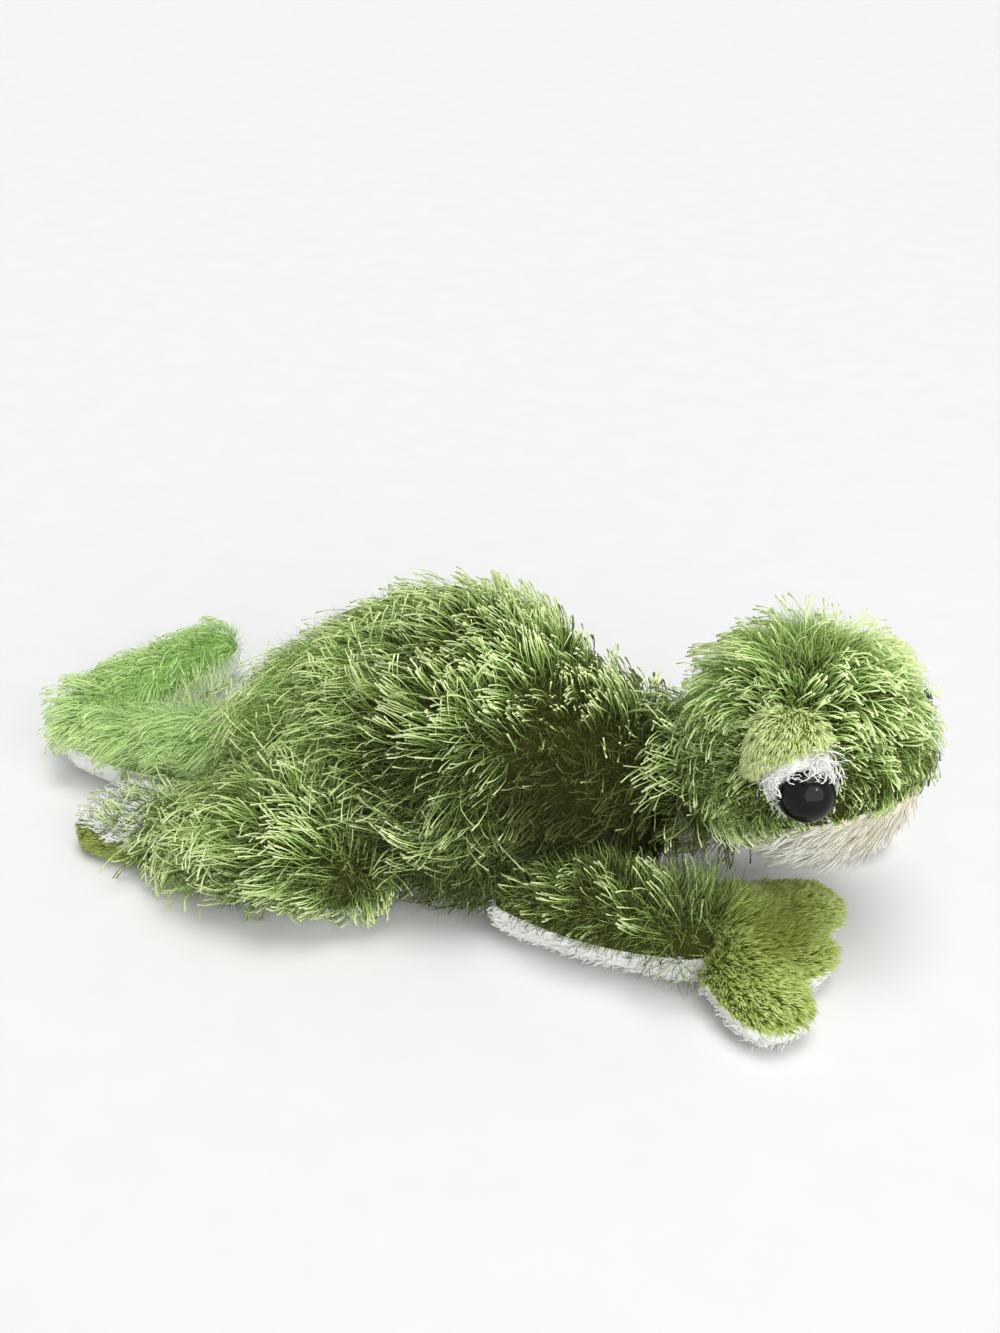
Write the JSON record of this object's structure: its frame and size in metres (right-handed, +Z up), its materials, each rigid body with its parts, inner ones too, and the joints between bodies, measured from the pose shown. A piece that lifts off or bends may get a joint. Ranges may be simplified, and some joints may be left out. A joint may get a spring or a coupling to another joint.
{
  "type": "plush gecko",
  "caption": "Shaggy stuffed gecko lying on its belly, with bulging lidded eyes, webbed plush hands and feet, a curled tail and floppy sewn joints.",
  "frame": {"origin": "middle of the belly's flat resting face, on the floor", "axes": "+X to the nose along the body, +Y to the gecko's left, +Z up"},
  "size_m": [0.2687, 0.1889, 0.0845],
  "materials": {
    "shaggy_green": "long shaggy pile in mixed greens with pale frayed tips",
    "lime_plush": "short dense lime pile",
    "white_plush": "short dense white pile",
    "cream_plush": "medium cream pile",
    "fibre_fill": "loose polyester fibre",
    "pellet_fill": "cloth bag of plastic pellets",
    "eye_black": "polished black moulding",
    "washer_plastic": "moulded locking washer"
  },
  "bodies": {
    "torso": {"back_cover": "shaggy_green", "belly_panel": "white_plush", "body_stuffing": "fibre_fill", "pellet_bag": "pellet_fill"},
    "neck": {"neck_gusset": "shaggy_green"},
    "head": {"head_cover": "shaggy_green", "chin_panel": "cream_plush", "head_stuffing": "fibre_fill", "eye_pad_right": "white_plush", "eye_pad_left": "white_plush", "eyelid_right": "lime_plush", "eyelid_left": "lime_plush", "eye_right": "eye_black", "eye_left": "eye_black", "eye_washer_right": "washer_plastic", "eye_washer_left": "washer_plastic"},
    "tail": {"tail_cover": "shaggy_green", "tail_underside": "white_plush", "tail_stuffing": "fibre_fill"},
    "arm_right": {"arm_cover_right": "shaggy_green", "arm_underside_right": "white_plush", "arm_stuffing_right": "fibre_fill"},
    "hand_right": {"hand_cover_right": "lime_plush", "hand_palm_right": "white_plush", "hand_pellets_right": "pellet_fill"},
    "leg_right": {"leg_cover_right": "shaggy_green", "leg_underside_right": "white_plush", "leg_stuffing_right": "fibre_fill"},
    "foot_right": {"foot_cover_right": "lime_plush", "foot_sole_right": "white_plush", "foot_pellets_right": "pellet_fill"},
    "arm_left": {"arm_cover_left": "shaggy_green", "arm_underside_left": "white_plush", "arm_stuffing_left": "fibre_fill"},
    "hand_left": {"hand_cover_left": "lime_plush", "hand_palm_left": "white_plush", "hand_pellets_left": "pellet_fill"},
    "leg_left": {"leg_cover_left": "shaggy_green", "leg_underside_left": "white_plush", "leg_stuffing_left": "fibre_fill"},
    "foot_left": {"foot_cover_left": "lime_plush", "foot_sole_left": "white_plush", "foot_pellets_left": "pellet_fill"}
  },
  "joints": [
    {"name": "neck_turn", "type": "hinge", "parent": "torso", "child": "neck", "pos_m": [0.067, -0.001, 0.041], "axis": [0, 0, 1], "range_deg": [-20, 20], "stiffness_Nm_per_rad": 0.25},
    {"name": "neck_nod", "type": "hinge", "parent": "neck", "child": "head", "pos_m": [0.067, -0.001, 0.041], "axis": [0, -1, 0], "range_deg": [-6, 16], "stiffness_Nm_per_rad": 0.4, "springref_deg": 1.43},
    {"name": "tail_lift", "type": "hinge", "parent": "torso", "child": "tail", "pos_m": [-0.0731, 0.002, 0.0145], "axis": [0, 1, 0], "range_deg": [0, 35]},
    {"name": "shoulder_right", "type": "hinge", "parent": "torso", "child": "arm_right", "pos_m": [0.024, -0.03214, 0.0095], "axis": [0, 0, 1], "range_deg": [-70, 0]},
    {"name": "wrist_right", "type": "hinge", "parent": "arm_right", "child": "hand_right", "pos_m": [0.07281, -0.03641, 0.00976], "axis": [-0.0872, -0.9962, 0], "range_deg": [-30, 15]},
    {"name": "hip_right", "type": "hinge", "parent": "torso", "child": "leg_right", "pos_m": [-0.024, -0.03881, 0.0143], "axis": [0, 0, 1], "range_deg": [0, 75]},
    {"name": "ankle_right", "type": "hinge", "parent": "leg_right", "child": "foot_right", "pos_m": [-0.0787, -0.03306, 0.0083], "axis": [0.3256, 0.9455, 0], "range_deg": [-30, 30]},
    {"name": "shoulder_left", "type": "hinge", "parent": "torso", "child": "arm_left", "pos_m": [0.024, 0.03214, 0.0095], "axis": [0, 0, 1], "range_deg": [-8, 45]},
    {"name": "wrist_left", "type": "hinge", "parent": "arm_left", "child": "hand_left", "pos_m": [0.06726, 0.05514, 0.00976], "axis": [0.4695, -0.8829, 0], "range_deg": [-30, 15]},
    {"name": "hip_left", "type": "hinge", "parent": "torso", "child": "leg_left", "pos_m": [-0.024, 0.03881, 0.0143], "axis": [0, 0, 1], "range_deg": [-25, 22]},
    {"name": "ankle_left", "type": "hinge", "parent": "leg_left", "child": "foot_left", "pos_m": [-0.02208, 0.09378, 0.0083], "axis": [0.9994, -0.0349, 0], "range_deg": [-30, 30]}
  ]
}
